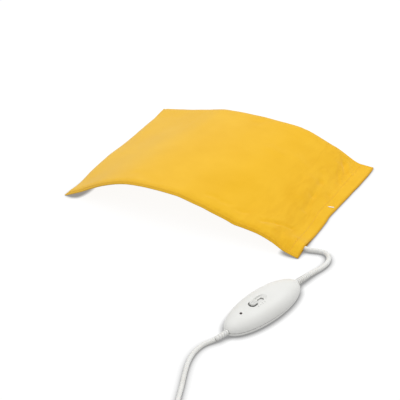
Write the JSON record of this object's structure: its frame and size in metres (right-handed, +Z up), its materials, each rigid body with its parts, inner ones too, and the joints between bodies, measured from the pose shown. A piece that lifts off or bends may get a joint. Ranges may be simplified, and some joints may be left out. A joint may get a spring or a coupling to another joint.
{
  "type": "heating pad with controller",
  "caption": "Fabric-covered electric heating pad resting in a low arch, with a corded oval hand controller that has a slide switch and lamp, and a coiled mains cord with a flat two-pin plug.",
  "frame": {"origin": "on the floor, under the middle of the box round the pad and the controller, without the free cords, their boots, the coil and the plug", "axes": "+Z up; +Y across the pad's width, from its front edge to its back edge; +X along the pad's length, from its closed end to the hem where the cord leaves"},
  "size_m": [0.4271, 0.7571, 0.0574],
  "materials": {
    "cover_fabric": "soft knitted cotton, matte",
    "pad_fabric": "white quilted fleece, matte",
    "wire_sleeve": "silicone sleeve, satin",
    "cord_vinyl": "soft white vinyl, satin",
    "shell_plastic": "warm white moulded plastic, satin",
    "knob_plastic": "warm white moulded plastic, fine grain",
    "dark_plastic": "moulded, matte",
    "board_laminate": "lacquered laminate",
    "steel": "bright zinc plate",
    "copper": "tinned copper alloy",
    "lens_plastic": "smoked clear plastic",
    "lamp_plastic": "frosted epoxy",
    "component_body": "dipped coating"
  },
  "bodies": {
    "pad_and_controller": {"cover_top_panel": "cover_fabric", "cover_bottom_panel": "cover_fabric", "pad_top_layer": "pad_fabric", "pad_bottom_layer": "pad_fabric", "heating_wire": "wire_sleeve", "thermal_cutout_1": "dark_plastic", "thermal_cutout_2": "dark_plastic", "cord_entry": "cord_vinyl", "pad_cord": "cord_vinyl", "controller_top": "shell_plastic", "controller_bottom": "shell_plastic", "shell_screw_1": "steel", "shell_screw_2": "steel", "shell_screw_3": "steel", "shell_screw_4": "steel", "circuit_board": "board_laminate", "board_screw_1": "steel", "board_screw_2": "steel", "switch_tray": "dark_plastic", "contact_strip": "copper", "indicator_lamp": "lamp_plastic", "indicator_lens": "lens_plastic", "fuse": "steel", "capacitor": "component_body", "triac": "dark_plastic", "diode": "dark_plastic", "resistor_1": "component_body", "resistor_2": "component_body", "pad_lead_1": "copper", "pad_lead_2": "copper", "pad_lead_3": "copper", "mains_lead_1": "copper", "mains_lead_2": "copper", "pad_cord_clamp": "dark_plastic", "mains_cord_clamp": "dark_plastic", "clamp_screw_1": "steel", "clamp_screw_2": "steel", "clamp_screw_3": "steel", "clamp_screw_4": "steel", "pad_cord_boot": "cord_vinyl", "mains_cord_boot": "cord_vinyl", "mains_cord": "cord_vinyl", "mains_coil": "cord_vinyl", "mains_tail": "cord_vinyl", "coil_tie": "dark_plastic", "plug_body": "cord_vinyl", "plug_pin_1": "steel", "plug_pin_2": "steel", "plug_boot": "cord_vinyl"},
    "slide": {"switch_knob": "knob_plastic", "switch_carrier": "dark_plastic", "switch_wiper": "copper"}
  },
  "joints": [
    {"name": "switch_slide", "type": "slide", "parent": "pad_and_controller", "child": "slide", "axis": [0.2672, 0.9636, 0], "range_m": [0, 0.012]}
  ]
}
